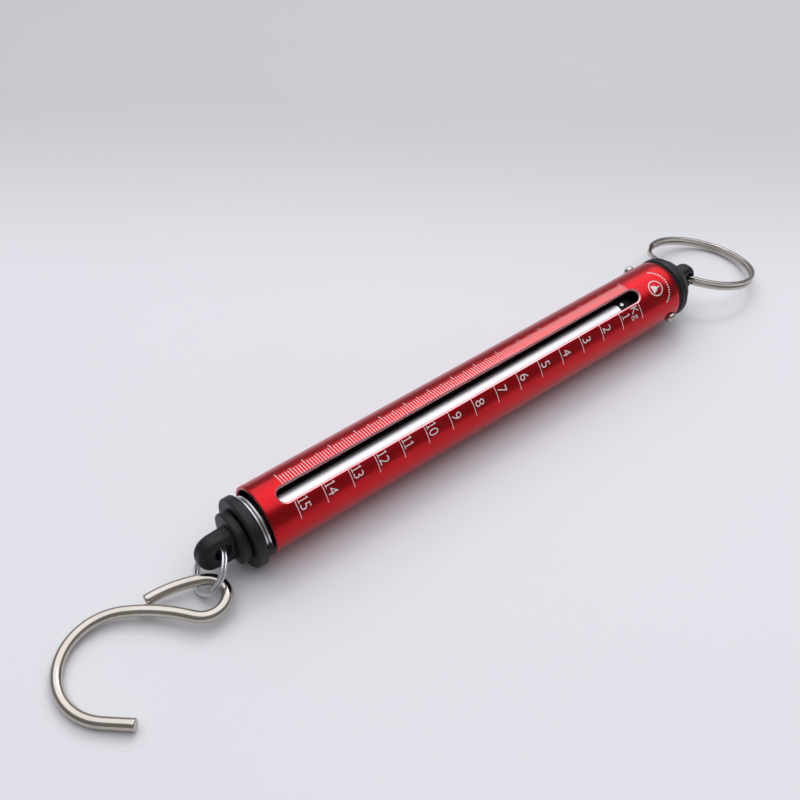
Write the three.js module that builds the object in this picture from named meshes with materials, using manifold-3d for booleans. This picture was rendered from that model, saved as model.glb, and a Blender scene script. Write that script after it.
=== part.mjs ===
// Hanging tubular spring scale, 15 kg, lying on its side.
// Units are millimetres, +Z is up. The tube runs along X: hook end towards -X, key ring towards +X.
// The scale rests on the plane z = 0; x and y are measured from the middle of the whole object.
import * as THREE from 'three';
import { mergeVertices } from 'three/addons/utils/BufferGeometryUtils.js';
import Module from 'manifold-3d';

const wasm = await Module();
wasm.setup();

// ---------------------------------------------------------------- driving dimensions
const GAP = 0.3;                       // clearance between pieces that touch
const slideGap = 0.15;                 // between the sliding assembly and the bore it lies in

// outer tube
const tubeR = 10.0;                    // outside radius
const tubeWall = 1.0;
const tubeLen = 155.7;
const slotWidth = 4.7;
const slotAngle = 23.4;                // degrees from straight up towards -Y
const slotFromHookEnd = 5.2;
const slotFromRingEnd = 15.0;

// sliding assembly
const innerDrop = 1.6;                 // how far it lies below the tube's axis
const innerWall = 1.8;
const innerIn = 0.0;                   // how far the inner tube's end lies inside the outer one
const collarLen = 4.4;                 // guide collar at its far end
const pointerPast = 0.6;               // its end lies this far beyond the slot at zero load
const stripThick = 0.75;
const stripFrom = 5.5;                 // degrees from straight up towards -Y
const stripTo = 52.0;
const stripStart = 3.0;
const stripEndGap = 6.7;               // from the pointer end back to the strip's end

// flange collar, wire ring and eye plug at the hook end
const flangeOver = 0.4;                // flange radius beyond the tube's
const flangeThick = 2.9;
const neckOver = 0.45;                 // neck radius beyond the inner tube's
const bandWireR = 0.5;
const ribOver = 0.15;                  // rib radius beyond the tube's
const ribThick = 0.8;
const ribWidth = 2.6;
const discR = 7.5;
const discThick = 2.6;
const eyeThick = 5.0;                  // both eyes are flat plates in the XZ plane
const eyeR = 5.3;
const eyeHoleR = 2.6;
const eyeReach = 3.2;                  // from the disc's back to the centre of the hole
const eyeLead = 1.6;                   // from there to the centre of the eye's round end
const eyeLow = 0.4;                    // centre of the hole below the assembly's axis
const eyeDrop = 0.45;                  // centre of the eye's round end below that of the hole
const washerWidth = 0.8;               // the washer that holds the plug's stem
const washerThick = 0.7;
const stemTip = 0.6;                   // the stem stands out beyond the washer

// top cap
const rimOver = 0.1;                   // rim radius beyond the tube's
const rimThick = 2.7;
const domeLen = 6.2;
const hubR = 4.8;
const spigotLen = 9.0;
const spigotWall = 1.8;
const seatThick = 0.5;                 // ring between the tube's end and the rim
const bufferLen = 3.1;                 // ring that stops the guide collar
const capEyeThick = 5.2;
const capEyeR = 4.7;
const capEyeHoleR = 2.75;
const capEyeX = 13.2;                  // from the tube's end to the eye's centre
const capEyeLow = 0.6;
const screwHeadR = 1.9;
const screwHeadH = 1.6;
const screwShankR = 1.1;
const screwAngle = 107;                // degrees from straight up towards -Y; the other is opposite
const screwFromEnd = 3.0;

// spring
const springWireR = 0.6;
const springRoom = 0.75;               // between the coils and the inner tube's bore
const springPitch = 4.0;
const pinR = 1.0;
const lowPinX = 9.0;
const highPinFromEnd = 5.6;

// rings and hook
const linkR = 6.95;
const linkWireR = 0.45;
const linkSeat = [0.5, 0.5, 0.45];     // where its wire passes, from the lower eye's centre
const linkLow = 1.4;                   // height of its far side
const linkYaw = 24.8;                  // degrees from -X towards -Y
const linkRoll = 18.2;                 // degrees about that line
const keyR = 17.8;
const keyWireW = 1.5;                  // radial
const keyWireH = 1.35;                 // along the ring's axis
const turnGap = 0.08;                  // between the two turns of a split ring
const jogAngle = 30;                   // where a ring's wire steps from one turn to the next
const endGap = 6;                      // degrees left open at the end of the second turn
const keyYaw = 17;
const hookWireR = 1.6;
const hookTip = 8.3;                   // straight end
const hookBendR = 15.2;
const hookBendTurn = 170;
const hookShankR = 46.7;
const hookShankTurn = 23.2;
const hookEyeR = 5.8;
const hookEyeTurn = 206.4;
const hookArmR = 32;
const hookArmTurn = 28.7;
const hookHeading = 137.2;             // degrees from +X, from the open end inwards
const hookEyeAhead = 0.49;             // from the link ring's far side to the centre of the hook's eye
const hookEyeAside = 3.65;
const hookEyeLift = 2.46;              // the eye end is lifted by the link ring under it
const hookLift = 0.05;                 // above the floor, at the lowest point

// ---------------------------------------------------------------- derived dimensions
const flangeR = tubeR + flangeOver;
const H = flangeR + innerDrop;         // height of the tube's axis
const zi = H - innerDrop;              // height of the sliding assembly's axis
const boreR = tubeR - tubeWall;
const innerR = boreR - innerDrop - slideGap;
const innerBore = innerR - innerWall;
const spigotR = boreR - GAP;
const pocketR = spigotR - spigotWall;
const rimR = tubeR + rimOver;
const pointerX = tubeLen - slotFromRingEnd + pointerPast;
const collarX = pointerX - collarLen;
const innerEnd = collarX - GAP;
const stripEnd = pointerX - stripEndGap;
const neckR = innerR + neckOver;
const ribR1 = tubeR + ribOver;
const ribR0 = ribR1 - ribThick;
const bandPitch = 2 * bandWireR + turnGap;
const neckLen = bandPitch + 2 * bandWireR + 2 * GAP;
const flangeFace = innerIn - neckLen;
const flangeBack = flangeFace - flangeThick;
const discFace = flangeBack - GAP;
const discBack = discFace - discThick;
const lowEyeX = discBack - eyeReach;
const lowEyeZ = zi - eyeLow;
const highEyeX = tubeLen + capEyeX;
const highEyeZ = H - capEyeLow;
const highPinX = tubeLen - highPinFromEnd;
const springR = innerBore - springRoom - springWireR;
const loopR = pinR + 1.5 * GAP + springWireR;
const plugR = innerBore - GAP;
const plugEnd = lowPinX + loopR + springWireR + GAP + 0.25;
const plugBore = (plugR + loopR + springWireR) / 2 - GAP;
const plugFloorX = lowPinX - 4.4;      // bottom of the hollow the washer lies in
const stemR = plugBore - washerWidth - 2 * GAP;
const linkSlope = Math.asin((lowEyeZ + linkSeat[2] - linkLow) / (2 * linkR)) * 180 / Math.PI;

// ---------------------------------------------------------------- helpers
const rad = Math.PI / 180;
const V = (x, y, z) => new THREE.Vector3(x, y, z);
const radial = deg => V(0, -Math.sin(deg * rad), Math.cos(deg * rad));

function solid(geometry) {
  const g = geometry.clone();
  for (const name of Object.keys(g.attributes)) {
    if (name !== 'position') g.deleteAttribute(name);
  }
  const m = mergeVertices(g, 1e-4);
  const tri = [];
  const ix = m.index.array;
  for (let i = 0; i < ix.length; i += 3) {
    const corners = [ix[i], ix[i + 1], ix[i + 2]];
    if (new Set(corners).size === 3) tri.push(...corners);
  }
  const p = m.attributes.position;
  let vol = 0;
  const a = V(0, 0, 0);
  const b = V(0, 0, 0);
  const c = V(0, 0, 0);
  for (let i = 0; i < tri.length; i += 3) {
    a.fromBufferAttribute(p, tri[i]);
    b.fromBufferAttribute(p, tri[i + 1]);
    c.fromBufferAttribute(p, tri[i + 2]);
    vol += a.dot(b.cross(c));
  }
  if (vol < 0) {
    for (let i = 0; i < tri.length; i += 3) [tri[i], tri[i + 1]] = [tri[i + 1], tri[i]];
  }
  return new wasm.Manifold(new wasm.Mesh({
    numProp: 3,
    vertProperties: new Float32Array(p.array),
    triVerts: new Uint32Array(tri),
  }));
}

function geometryOf(manifold) {
  const mesh = manifold.getMesh();
  const g = new THREE.BufferGeometry();
  const pos = new Float32Array((mesh.vertProperties.length / mesh.numProp) * 3);
  for (let i = 0, n = pos.length / 3; i < n; i++) {
    for (let k = 0; k < 3; k++) pos[3 * i + k] = mesh.vertProperties[mesh.numProp * i + k];
  }
  g.setAttribute('position', new THREE.BufferAttribute(pos, 3));
  g.setIndex(new THREE.BufferAttribute(new Uint32Array(mesh.triVerts), 1));
  g.computeVertexNormals();
  return g;
}

// a turned piece about the X direction at height z; profile is [x, radius] pairs
function turned(profile, z, segments = 48) {
  const pts = profile.map(([x, r]) => new THREE.Vector2(r, x));
  const g = new THREE.LatheGeometry(pts, segments);
  g.rotateZ(-Math.PI / 2);
  g.translate(0, 0, z);
  return solid(g);
}

// a turned ring: the profile closes on itself
function turnedRing(profile, z, segments = 48) {
  return turned([...profile, profile[0]], z, segments);
}

// a shape drawn in Y (across) and Z (up), pushed along X from x0 to x1
function alongX(shape, x0, x1, curveSegments = 12) {
  const g = new THREE.ExtrudeGeometry(shape, { depth: x1 - x0, bevelEnabled: false, curveSegments });
  const m = new THREE.Matrix4().makeBasis(V(0, 1, 0), V(0, 0, 1), V(1, 0, 0));
  g.applyMatrix4(m);
  g.translate(x0, 0, 0);
  return solid(g);
}

// a shape drawn in X (across) and Z (up), centred on y = 0, with rounded edges
function plateXZ(shape, thick, bevel, curveSegments = 10) {
  const g = new THREE.ExtrudeGeometry(shape, {
    depth: thick - 2 * bevel,
    bevelEnabled: bevel > 0,
    bevelThickness: bevel,
    bevelSize: bevel,
    bevelOffset: -bevel,
    bevelSegments: 3,
    curveSegments,
  });
  const m = new THREE.Matrix4().makeBasis(V(1, 0, 0), V(0, 0, 1), V(0, -1, 0));
  g.applyMatrix4(m);
  g.translate(0, (thick - 2 * bevel) / 2, 0);
  return solid(g);
}

// a round bar from a to b
function bar(a, b, r, segments = 20) {
  const d = b.clone().sub(a);
  const g = new THREE.CylinderGeometry(r, r, d.length(), segments);
  g.applyQuaternion(new THREE.Quaternion().setFromUnitVectors(V(0, 1, 0), d.clone().normalize()));
  g.translate((a.x + b.x) / 2, (a.y + b.y) / 2, (a.z + b.z) / 2);
  return solid(g);
}

// a sector of a ring about (0, z), angles from straight up towards -Y
function sector(r0, r1, from, to, z) {
  const s = new THREE.Shape();
  const n = 10;
  for (let i = 0; i <= n; i++) {
    const d = radial(from + (to - from) * i / n);
    const p = [d.y * r1, z + d.z * r1];
    if (i === 0) s.moveTo(...p);
    else s.lineTo(...p);
  }
  for (let i = n; i >= 0; i--) {
    const d = radial(from + (to - from) * i / n);
    s.lineTo(d.y * r0, z + d.z * r0);
  }
  s.closePath();
  return s;
}

// a curve given by a function of t
class PathCurve extends THREE.Curve {
  constructor(fn, divisions) {
    super();
    this.fn = fn;
    this.arcLengthDivisions = divisions;
  }

  getPoint(t, target = new THREE.Vector3()) {
    return target.copy(this.fn(t));
  }
}

// the section of a round wire
function disc(r, sides) {
  const s = new THREE.Shape();
  for (let i = 0; i < sides; i++) {
    const a = (i + 0.5) / sides * 2 * Math.PI;
    const p = [r * Math.cos(a), r * Math.sin(a)];
    if (i === 0) s.moveTo(...p);
    else s.lineTo(...p);
  }
  s.closePath();
  return s;
}

// two flat turns about the local Z axis: the wire steps up once, just before the first turn closes
const splitTurns = 2 - (jogAngle + endGap) / 360;

function splitPath(radius, pitch) {
  const jog = jogAngle * rad;
  return t => {
    const a = splitTurns * 2 * Math.PI * t;
    const u = THREE.MathUtils.smoothstep(a, 2 * Math.PI - jog, 2 * Math.PI);
    return V(radius * Math.cos(a), radius * Math.sin(a), pitch * (u - 0.5));
  };
}

// the section's first direction stays radial all the way round
function splitRing(radius, pitch, shape, perTurn) {
  const fn = splitPath(radius, pitch);
  const path = new PathCurve(fn, 1500);
  path.computeFrenetFrames = count => {
    const tangents = [];
    const normals = [];
    const binormals = [];
    for (let i = 0; i <= count; i++) {
      const a = splitTurns * 2 * Math.PI * (i / count);
      const tangent = V(-Math.sin(a), Math.cos(a), 0);
      tangents.push(tangent);
      normals.push(V(Math.cos(a), Math.sin(a), 0));
      binormals.push(V(0, 0, 1).negate());
    }
    return { tangents, normals, binormals };
  };
  const steps = Math.round(splitTurns * perTurn);
  return new THREE.ExtrudeGeometry(shape, { steps, bevelEnabled: false, extrudePath: path });
}

// ---------------------------------------------------------------- the scene graph
const part = new THREE.Group();
const housing = new THREE.Group();
const slider = new THREE.Group();
const hanging = new THREE.Group();
part.add(housing, slider, hanging);

const red = () => new THREE.MeshStandardMaterial({ color: 0xb81c22, roughness: 0.32, metalness: 0.75 });
const black = () => new THREE.MeshStandardMaterial({ color: 0x1d1c20, roughness: 0.55, metalness: 0.0 });
const steel = () => new THREE.MeshStandardMaterial({ color: 0xa79f95, roughness: 0.28, metalness: 0.95 });
const nickel = () => new THREE.MeshStandardMaterial({ color: 0xcfc9c0, roughness: 0.18, metalness: 0.98 });
const zinc = () => new THREE.MeshStandardMaterial({ color: 0xbdbdb8, roughness: 0.4, metalness: 0.9 });
const bright = () => new THREE.MeshStandardMaterial({ color: 0xdededf, roughness: 0.3, metalness: 0.9 });
const rubber = () => new THREE.MeshStandardMaterial({ color: 0x232325, roughness: 0.85, metalness: 0.0 });

function add(group, name, manifold, material) {
  const mesh = new THREE.Mesh(manifold.isMesh ? manifold : geometryOf(manifold), material);
  mesh.name = name;
  group.add(mesh);
  return mesh;
}

// ---------------------------------------------------------------- outer tube
const cham = 0.25;
let tube = turnedRing([
  [0, boreR + cham], [0, tubeR - cham], [cham, tubeR], [tubeLen - cham, tubeR],
  [tubeLen, tubeR - cham], [tubeLen, boreR + cham], [tubeLen - cham, boreR], [cham, boreR],
], H, 56);
{
  const hw = slotWidth / 2;
  const x0 = slotFromHookEnd + hw;
  const x1 = tubeLen - slotFromRingEnd - hw;
  const s = new THREE.Shape();
  s.absarc(x1, 0, hw, -Math.PI / 2, Math.PI / 2, false);
  s.absarc(x0, 0, hw, Math.PI / 2, Math.PI * 1.5, false);
  s.closePath();
  const depth = 2 * tubeWall + 4;
  const g = new THREE.ExtrudeGeometry(s, { depth, bevelEnabled: false, curveSegments: 10 });
  const up = radial(slotAngle);
  const across = V(0, up.z, -up.y);
  g.applyMatrix4(new THREE.Matrix4().makeBasis(V(1, 0, 0), across, up));
  g.translate(up.x * (boreR - 3), up.y * (boreR - 3), H + up.z * (boreR - 3));
  tube = tube.subtract(solid(g));
}
const screwX = tubeLen - screwFromEnd;
const axisPoint = (x, deg, r) => V(x, 0, H).add(radial(deg).multiplyScalar(r));
for (const deg of [screwAngle, screwAngle - 180]) {
  const inside = axisPoint(screwX, deg, boreR - 2);
  const outside = axisPoint(screwX, deg, tubeR + 2);
  tube = tube.subtract(bar(inside, outside, screwShankR + GAP));
}
add(housing, 'outer_tube', tube, red());

// ---------------------------------------------------------------- top cap with its eye
const rimX = tubeLen + GAP + seatThick + GAP;
let cap = turned([
  [tubeLen - spigotLen, 0], [tubeLen - spigotLen, spigotR - 0.4], [tubeLen - spigotLen + 0.4, spigotR],
  [rimX, spigotR], [rimX, rimR - 0.3], [rimX + 0.3, rimR], [rimX + rimThick - 0.5, rimR],
  [rimX + rimThick, rimR - 0.35],
  [rimX + rimThick + domeLen * 0.35, rimR - (rimR - hubR) * 0.28],
  [rimX + rimThick + domeLen * 0.68, rimR - (rimR - hubR) * 0.66],
  [rimX + rimThick + domeLen * 0.92, hubR + 0.35],
  [rimX + rimThick + domeLen, hubR - 0.5], [rimX + rimThick + domeLen, 0],
], H, 40);
{
  const s = new THREE.Shape();
  const top = highEyeZ + capEyeR;
  const low = highEyeZ - capEyeR;
  const root = rimX + rimThick + 1.0;
  s.moveTo(root, low);
  s.lineTo(highEyeX - 1.2, low);
  s.absarc(highEyeX - 0.7, highEyeZ, capEyeR, -Math.PI / 2, Math.PI / 2, false);
  s.lineTo(root, top);
  s.closePath();
  cap = cap.add(plateXZ(s, capEyeThick, 1.3, 12));
  cap = cap.subtract(bar(V(highEyeX, -8, highEyeZ), V(highEyeX, 8, highEyeZ), capEyeHoleR, 24));
}
cap = cap.subtract(bar(V(tubeLen - spigotLen - 1, 0, H), V(tubeLen - 2.2, 0, H), pocketR, 32));
for (const deg of [screwAngle, screwAngle - 180]) {
  const inside = axisPoint(screwX, deg, pocketR - 2.4);
  const outside = axisPoint(screwX, deg, boreR + 1);
  cap = cap.subtract(bar(inside, outside, screwShankR + GAP));
}
cap = cap.subtract(bar(V(highPinX, -boreR - 2, zi), V(highPinX, boreR + 2, zi), pinR + GAP));
add(housing, 'top_cap', cap, black());
add(housing, 'cap_seat_ring', turnedRing([
  [tubeLen + GAP, spigotR + GAP], [tubeLen + GAP, tubeR - 0.1],
  [tubeLen + GAP + seatThick, tubeR - 0.1], [tubeLen + GAP + seatThick, spigotR + GAP],
], H, 40), rubber());
const bufferX = tubeLen - spigotLen - GAP;
add(housing, 'buffer_ring', turnedRing([
  [bufferX - bufferLen, pocketR - 0.3], [bufferX - bufferLen, boreR - 0.4],
  [bufferX, boreR - 0.4], [bufferX, pocketR - 0.3],
], H, 36), rubber());

// ---------------------------------------------------------------- cap screws with cross recess
for (const [name, deg] of [['cap_screw_front', screwAngle], ['cap_screw_rear', screwAngle - 180]]) {
  const under = tubeR + GAP;
  const tip = pocketR + 0.25;
  const p = [
    [0, tip], [screwShankR - 0.3, tip], [screwShankR, tip + 0.3], [screwShankR, under],
    [screwHeadR, under], [screwHeadR, under + screwHeadH * 0.35],
    [screwHeadR * 0.86, under + screwHeadH * 0.75], [screwHeadR * 0.5, under + screwHeadH * 0.97],
    [0, under + screwHeadH],
  ].map(([r, y]) => new THREE.Vector2(r, y));
  let s = solid(new THREE.LatheGeometry(p, 24));
  for (const turn of [0, Math.PI / 2]) {
    const b = new THREE.BoxGeometry(screwHeadR * 1.25, 1.6, 0.5);
    b.rotateY(turn + 0.5);
    b.translate(0, under + screwHeadH + 0.1, 0);
    s = s.subtract(solid(b));
  }
  const mesh = add(housing, name, s, bright());
  mesh.quaternion.setFromUnitVectors(V(0, 1, 0), radial(deg));
  mesh.position.set(screwX, 0, H);
}

// ---------------------------------------------------------------- pins that hold the spring
const pinAcross = (x, half) => bar(V(x, -half, zi), V(x, half, zi), pinR, 16);
const highPinHalf = Math.sqrt(boreR ** 2 - innerDrop ** 2) - 0.6;
add(housing, 'spring_pin_upper', pinAcross(highPinX, highPinHalf), steel());
add(slider, 'spring_pin_lower', pinAcross(lowPinX, innerR - 0.15), steel());

// ---------------------------------------------------------------- inner tube
let inner = turnedRing([
  [innerIn, innerBore], [innerIn, innerR - 0.2], [innerIn + 0.2, innerR],
  [innerEnd, innerR], [innerEnd, innerBore],
], zi, 56);
const recessR = innerR - stripThick - GAP;
const recess = sector(recessR, innerR + 2, stripFrom - 2.4, stripTo + 2.4, zi);
inner = inner.subtract(alongX(recess, stripStart - GAP, stripEnd + GAP));
inner = inner.subtract(bar(V(lowPinX, -innerR - 2, zi), V(lowPinX, innerR + 2, zi), pinR + GAP));
const studX = stripEnd + 1.2;
const studAngle = stripFrom + 12;
const innerPoint = (x, deg, r) => V(x, 0, zi).add(radial(deg).multiplyScalar(r));
const studShankR = 0.55;
const studFoot = innerPoint(studX, studAngle, innerBore - 1);
const studTop = innerPoint(studX, studAngle, innerR + 1);
inner = inner.subtract(bar(studFoot, studTop, studShankR + GAP, 12));
add(slider, 'inner_tube', inner, black());

// guide collar at the far end: its rounded edge is the pointer
const nose = 0.9;
add(slider, 'guide_collar', turnedRing([
  [collarX, innerBore + 0.2], [collarX, innerR], [pointerX - nose, innerR],
  [pointerX - nose * 0.62, innerR - nose * 0.08], [pointerX - nose * 0.29, innerR - nose * 0.29],
  [pointerX - nose * 0.08, innerR - nose * 0.62], [pointerX, innerR - nose], [pointerX, innerBore + 0.2],
], zi, 40), black());

// pointer strip let into the inner tube, and the stud at its end
const stripSection = sector(recessR + GAP, innerR + 0.02, stripFrom, stripTo, zi);
add(slider, 'pointer_strip', alongX(stripSection, stripStart, stripEnd), bright());
{
  const p = [
    [0, innerBore + 0.25], [studShankR, innerBore + 0.25], [studShankR, innerR + 0.12], [0.85, innerR + 0.12],
    [0.8, innerR + 0.42], [0.45, innerR + 0.62], [0, innerR + 0.68],
  ].map(([r, y]) => new THREE.Vector2(r, y));
  const mesh = add(slider, 'strip_stud', solid(new THREE.LatheGeometry(p, 16)), bright());
  mesh.quaternion.setFromUnitVectors(V(0, 1, 0), radial(studAngle));
  mesh.position.set(studX, 0, zi);
}

// ---------------------------------------------------------------- flange collar
let collar = turned([
  [flangeBack, 0], [flangeBack, flangeR - 0.7], [flangeBack + 0.25, flangeR - 0.25],
  [flangeBack + 0.7, flangeR],
  [flangeFace - 0.5, flangeR], [flangeFace - 0.15, flangeR - 0.15], [flangeFace, flangeR - 0.5],
  [flangeFace, neckR], [innerIn - GAP, neckR], [innerIn - GAP, plugR],
  [plugEnd, plugR], [plugEnd, 0],
], zi, 40);
for (const deg of [92, 182, 272]) {
  const half = ribWidth / 2 / ribR1 / rad;
  const rib = sector(ribR0, ribR1, deg - half, deg + half, zi);
  collar = collar.add(alongX(rib, flangeFace - 0.6, Math.min(innerIn, 0) - GAP));
}
collar = collar.subtract(bar(V(plugFloorX, 0, zi), V(plugEnd + 1, 0, zi), plugBore, 24));
collar = collar.subtract(bar(V(flangeBack - 1, 0, zi), V(plugFloorX + 1, 0, zi), stemR + GAP, 24));
collar = collar.subtract(bar(V(lowPinX, -innerR - 2, zi), V(lowPinX, innerR + 2, zi), pinR + GAP));
add(slider, 'flange_collar', collar, black());

// two turns of wire in the groove between the flange and the inner tube
{
  const bandR = (neckR + GAP + ribR0 - GAP) / 2 - 0.02;
  const g = splitRing(bandR, bandPitch, disc(bandWireR, 6), 30);
  g.rotateY(Math.PI / 2);
  g.translate((flangeFace + innerIn) / 2, 0, zi);
  add(slider, 'wire_band', solid(g), bright());
}

// ---------------------------------------------------------------- eye plug: disc, eye and stem
const washerX = plugFloorX + GAP;
const stemEnd = washerX + washerThick + stemTip + GAP;
let plug = turned([
  [discBack, 0], [discBack, discR - 0.8], [discBack + 0.3, discR - 0.25], [discBack + 0.8, discR],
  [discFace - 0.3, discR], [discFace, discR - 0.3], [discFace, stemR], [stemEnd, stemR], [stemEnd, 0],
], zi, 44);
{
  const s = new THREE.Shape();
  const middle = lowEyeZ - eyeDrop;
  const top = middle + eyeR;
  const low = middle - eyeR;
  s.moveTo(discBack + 1.2, top);
  s.lineTo(lowEyeX - eyeLead, top);
  s.absarc(lowEyeX - eyeLead, middle, eyeR, Math.PI / 2, Math.PI * 1.5, false);
  s.lineTo(discBack + 1.2, low);
  s.closePath();
  plug = plug.add(plateXZ(s, eyeThick, 1.3, 12));
  plug = plug.subtract(bar(V(lowEyeX, -8, lowEyeZ), V(lowEyeX, 8, lowEyeZ), eyeHoleR, 24));
}
add(slider, 'eye_plug', plug, black());
add(slider, 'stem_washer', turnedRing([
  [washerX, stemR + GAP], [washerX, plugBore - GAP],
  [washerX + washerThick, plugBore - GAP], [washerX + washerThick, stemR + GAP],
], zi, 24), steel());

// ---------------------------------------------------------------- extension spring
{
  const xa = lowPinX + 5.5;
  const xb = highPinX - 5.5;
  const turns = Math.round((xb - xa) / springPitch);
  const pts = [];
  const loop = (cx, sgn) => {              // open eye round a pin, in the XZ plane
    const out = [];
    for (let i = 0; i <= 9; i++) {
      const a = (40 + 270 * i / 9) * rad;
      out.push(V(cx + sgn * loopR * Math.cos(a), 0, zi + loopR * Math.sin(a)));
    }
    return out;
  };
  const helix = t => {
    const a = turns * 2 * Math.PI * t;
    return V(xa + (xb - xa) * t, springR * Math.sin(a), zi - springR * Math.cos(a));
  };
  pts.push(...loop(lowPinX, 1));
  const n = turns * 8;
  for (let i = 0; i <= n; i++) pts.push(helix(i / n));
  pts.push(...loop(highPinX, -1).reverse());
  const curve = new THREE.CatmullRomCurve3(pts, false, 'centripetal');
  curve.getUtoTmapping = u => u;         // one step for each point of the path
  const steps = pts.length - 1;
  const section = disc(springWireR, 5);
  const g = new THREE.ExtrudeGeometry(section, { steps, bevelEnabled: false, extrudePath: curve });
  add(housing, 'extension_spring', solid(g), steel());
}

// ---------------------------------------------------------------- link ring through the lower eye
const linkTop = V(lowEyeX + linkSeat[0], linkSeat[1], lowEyeZ + linkSeat[2]);
const linkPitch = 2 * linkWireR + turnGap;
const linkDir = V(-Math.cos(linkYaw * rad), -Math.sin(linkYaw * rad), 0);
linkDir.multiplyScalar(Math.cos(linkSlope * rad));
linkDir.z = -Math.sin(linkSlope * rad);
const linkAcross = V(0, 1, 0).addScaledVector(linkDir, -linkDir.y).normalize();
linkAcross.applyAxisAngle(linkDir, linkRoll * rad);
const linkCentre = linkTop.clone().addScaledVector(linkDir, linkR);
{
  const g = splitRing(linkR, linkPitch, disc(linkWireR, 6), 30);
  const n = new THREE.Vector3().crossVectors(linkDir, linkAcross);
  g.rotateZ(0.9);
  g.applyMatrix4(new THREE.Matrix4().makeBasis(linkDir, linkAcross, n));
  g.translate(linkCentre.x, linkCentre.y, linkCentre.z);
  add(hanging, 'link_ring', solid(g), zinc());
}

// ---------------------------------------------------------------- hook
const linkFar = linkTop.clone().addScaledVector(linkDir, 2 * linkR);
{
  let x = 0;
  let y = 0;
  let h = hookHeading * rad;
  const centres = [];
  const pts = [[x, y]];
  for (let i = 0; i < 3; i++) {
    x += hookTip / 3 * Math.cos(h);
    y += hookTip / 3 * Math.sin(h);
    pts.push([x, y]);
  }
  const arc = (r, turn, side, n) => {
    const cx = x - side * r * Math.sin(h);
    const cy = y + side * r * Math.cos(h);
    const a0 = Math.atan2(y - cy, x - cx);
    for (let i = 1; i <= n; i++) {
      const a = a0 + side * turn * rad * i / n;
      x = cx + r * Math.cos(a);
      y = cy + r * Math.sin(a);
      pts.push([x, y]);
    }
    h += side * turn * rad;
    centres.push([cx, cy]);
  };
  arc(hookBendR, hookBendTurn, -1, 24);
  arc(hookShankR, hookShankTurn, -1, 7);
  arc(hookEyeR, hookEyeTurn, 1, 20);
  arc(hookArmR, hookArmTurn, 1, 8);
  const dx = linkFar.x - hookEyeAhead - centres[2][0];
  const dy = linkFar.y - hookEyeAside - centres[2][1];
  for (const p of pts) {
    p[0] += dx;
    p[1] += dy;
  }
  const lowX = Math.min(...pts.map(p => p[0]));
  const rise = hookEyeLift / (centres[2][0] + dx - lowX);
  const route = pts.map(([px, py]) => V(px, py, hookWireR + hookLift + rise * (px - lowX)));
  const curve = new THREE.CatmullRomCurve3(route, false, 'centripetal');
  curve.arcLengthDivisions = 1500;
  const section = disc(hookWireR, 10);
  const g = new THREE.ExtrudeGeometry(section, { steps: 72, bevelEnabled: false, extrudePath: curve });
  add(hanging, 's_hook', solid(g), steel());
}

// ---------------------------------------------------------------- key ring through the upper eye
{
  const top = V(highEyeX + 0.2, 0, highEyeZ - 0.2);
  const pitch = keyWireH + turnGap;
  const low = pitch / 2 + keyWireH / 2;
  const down = Math.asin((top.z - low - 0.35) / (2 * keyR));
  const dir = V(Math.cos(keyYaw * rad), Math.sin(keyYaw * rad), 0).multiplyScalar(Math.cos(down));
  dir.z = -Math.sin(down);
  const across = V(-Math.sin(keyYaw * rad), Math.cos(keyYaw * rad), 0);
  const n = new THREE.Vector3().crossVectors(dir, across);
  const s = new THREE.Shape();
  const w = keyWireW / 2;
  const k = keyWireH / 2;
  const c = 0.35;
  s.moveTo(-w + c, -k);
  s.lineTo(w - c, -k);
  s.lineTo(w, -k + c);
  s.lineTo(w, k - c);
  s.lineTo(w - c, k);
  s.lineTo(-w + c, k);
  s.lineTo(-w, k - c);
  s.lineTo(-w, -k + c);
  s.closePath();
  const g = splitRing(keyR, pitch, s, 40);
  g.rotateZ(2.4);
  g.applyMatrix4(new THREE.Matrix4().makeBasis(dir, across, n));
  const c0 = top.clone().addScaledVector(dir, keyR);
  g.translate(c0.x, c0.y, c0.z);
  add(hanging, 'key_ring', solid(g), nickel());
}

// ---------------------------------------------------------------- placing
// the box centre lies over the origin and the lowest point on z = 0
part.updateMatrixWorld(true);
const box = new THREE.Box3().setFromObject(part, true);
part.position.set(-(box.min.x + box.max.x) / 2, -(box.min.y + box.max.y) / 2, -box.min.z);
part.updateMatrixWorld(true);

export default part;
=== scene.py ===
# Hanging tubular spring scale lying on a pale floor: the fine surface over the CAD frame.
# Sizes are millimetres unless a name says otherwise. x runs from the hook end of the outer tube to its
# ring end, y and z are measured from the tube's axis; spot() turns that into the row frame in metres.
import math

import bmesh
import bpy
from mathutils import Matrix, Vector


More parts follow.
